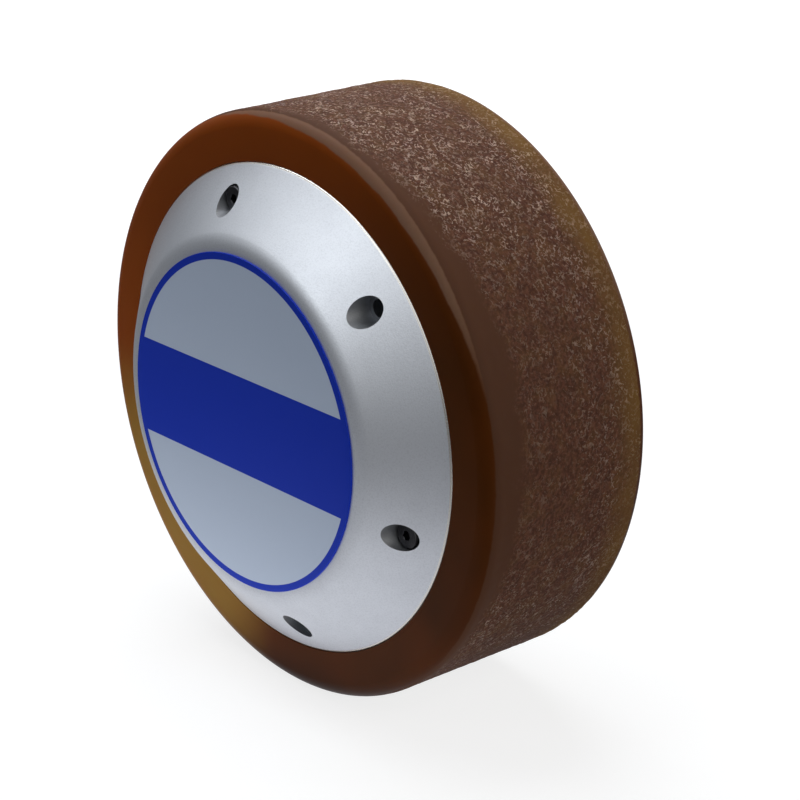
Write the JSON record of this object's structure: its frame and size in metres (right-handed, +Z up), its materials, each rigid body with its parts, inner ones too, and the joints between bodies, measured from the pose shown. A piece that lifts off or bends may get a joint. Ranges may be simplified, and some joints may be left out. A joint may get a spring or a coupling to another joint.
{
  "type": "robot drive wheel",
  "caption": "Robot drive wheel with a cast polyurethane tyre on an in-wheel servo motor, domed aluminium cover and a double-flat mounting axle.",
  "frame": {"origin": "centre of the axle's mounting shoulder, where a bracket rests", "axes": "+Y along the axle, out of its mounting stub; +Z up; the domed cover faces -Y"},
  "size_m": [0.165, 0.1185, 0.165],
  "materials": {
    "tyre_polyurethane": "cast polyurethane, glossy on the side faces, ground and speckled on the tread",
    "drum_aluminium": "turned",
    "yoke_steel": "turned",
    "magnet_nickel": "nickel plated",
    "cover_aluminium": "fine bead-blasted, satin",
    "label_film": "glossy printed film, white with a plain blue rim ring and a plain blue band",
    "screw_black": "black oxide",
    "seal_rubber": "nitrile rubber",
    "spring_steel": "plain",
    "bearing_steel": "ground",
    "cage_brass": "pressed",
    "bearing_seal": "moulded",
    "circlip_steel": "phosphated",
    "axle_steel": "turned and milled",
    "lamination_steel": "stacked laminations",
    "insulator_plastic": "moulded",
    "enamelled_copper": "enamelled winding",
    "board_green": "solder mask",
    "chip_black": "moulded",
    "grommet_rubber": "moulded"
  },
  "bodies": {
    "axle": {"axle": "axle_steel", "axle_key": "axle_steel", "front_axle_circlip": "circlip_steel", "carrier_circlip": "circlip_steel", "front_bearing_inner_ring": "bearing_steel", "rear_bearing_inner_ring": "bearing_steel", "stator_carrier": "drum_aluminium", "stator_core": "lamination_steel", "slot_insulator_front": "insulator_plastic", "slot_insulator_rear": "insulator_plastic", "coils_phase_u": "enamelled_copper", "coils_phase_v": "enamelled_copper", "coils_phase_w": "enamelled_copper", "hall_board": "board_green", "hall_sensors": "chip_black", "hall_board_standoffs": "cage_brass", "hall_board_screws": "spring_steel", "encoder_board": "board_green", "encoder_sensor": "chip_black", "encoder_spacer": "insulator_plastic", "encoder_screws": "spring_steel", "cable_grommet": "grommet_rubber"},
    "wheel": {"tyre": "tyre_polyurethane", "hub_drum": "drum_aluminium", "rotor_yoke": "yoke_steel", "rotor_magnets": "magnet_nickel", "front_cover": "cover_aluminium", "front_label": "label_film", "front_cover_screws": "screw_black", "front_cover_oring": "seal_rubber", "rear_cover": "cover_aluminium", "rear_cover_screws": "screw_black", "rear_cover_oring": "seal_rubber", "shaft_seal": "seal_rubber", "shaft_seal_spring": "spring_steel", "encoder_magnet": "magnet_nickel", "front_bearing_outer_ring": "bearing_steel", "front_bearing_seals": "bearing_seal", "bearing_preload_washer": "spring_steel", "rear_bearing_outer_ring": "bearing_steel", "rear_bearing_seals": "bearing_seal", "rear_bearing_circlip": "circlip_steel"},
    "front_cage": {"front_bearing_balls": "bearing_steel", "front_bearing_cage": "cage_brass"},
    "rear_cage": {"rear_bearing_balls": "bearing_steel", "rear_bearing_cage": "cage_brass"}
  },
  "joints": [
    {"name": "wheel_spin", "type": "hinge", "parent": "axle", "child": "wheel", "pos_m": [0, -0.0365, 0], "axis": [0, 1, 0], "continuous": true},
    {"name": "front_cage_spin", "type": "hinge", "parent": "axle", "child": "front_cage", "pos_m": [0, -0.062, 0], "axis": [0, 1, 0], "continuous": true},
    {"name": "rear_cage_spin", "type": "hinge", "parent": "axle", "child": "rear_cage", "pos_m": [0, -0.015, 0], "axis": [0, 1, 0], "continuous": true}
  ],
  "couplings": [
    {"joint": "front_cage_spin", "follows": "wheel_spin", "ratio": 0.5915},
    {"joint": "rear_cage_spin", "follows": "wheel_spin", "ratio": 0.5882}
  ]
}
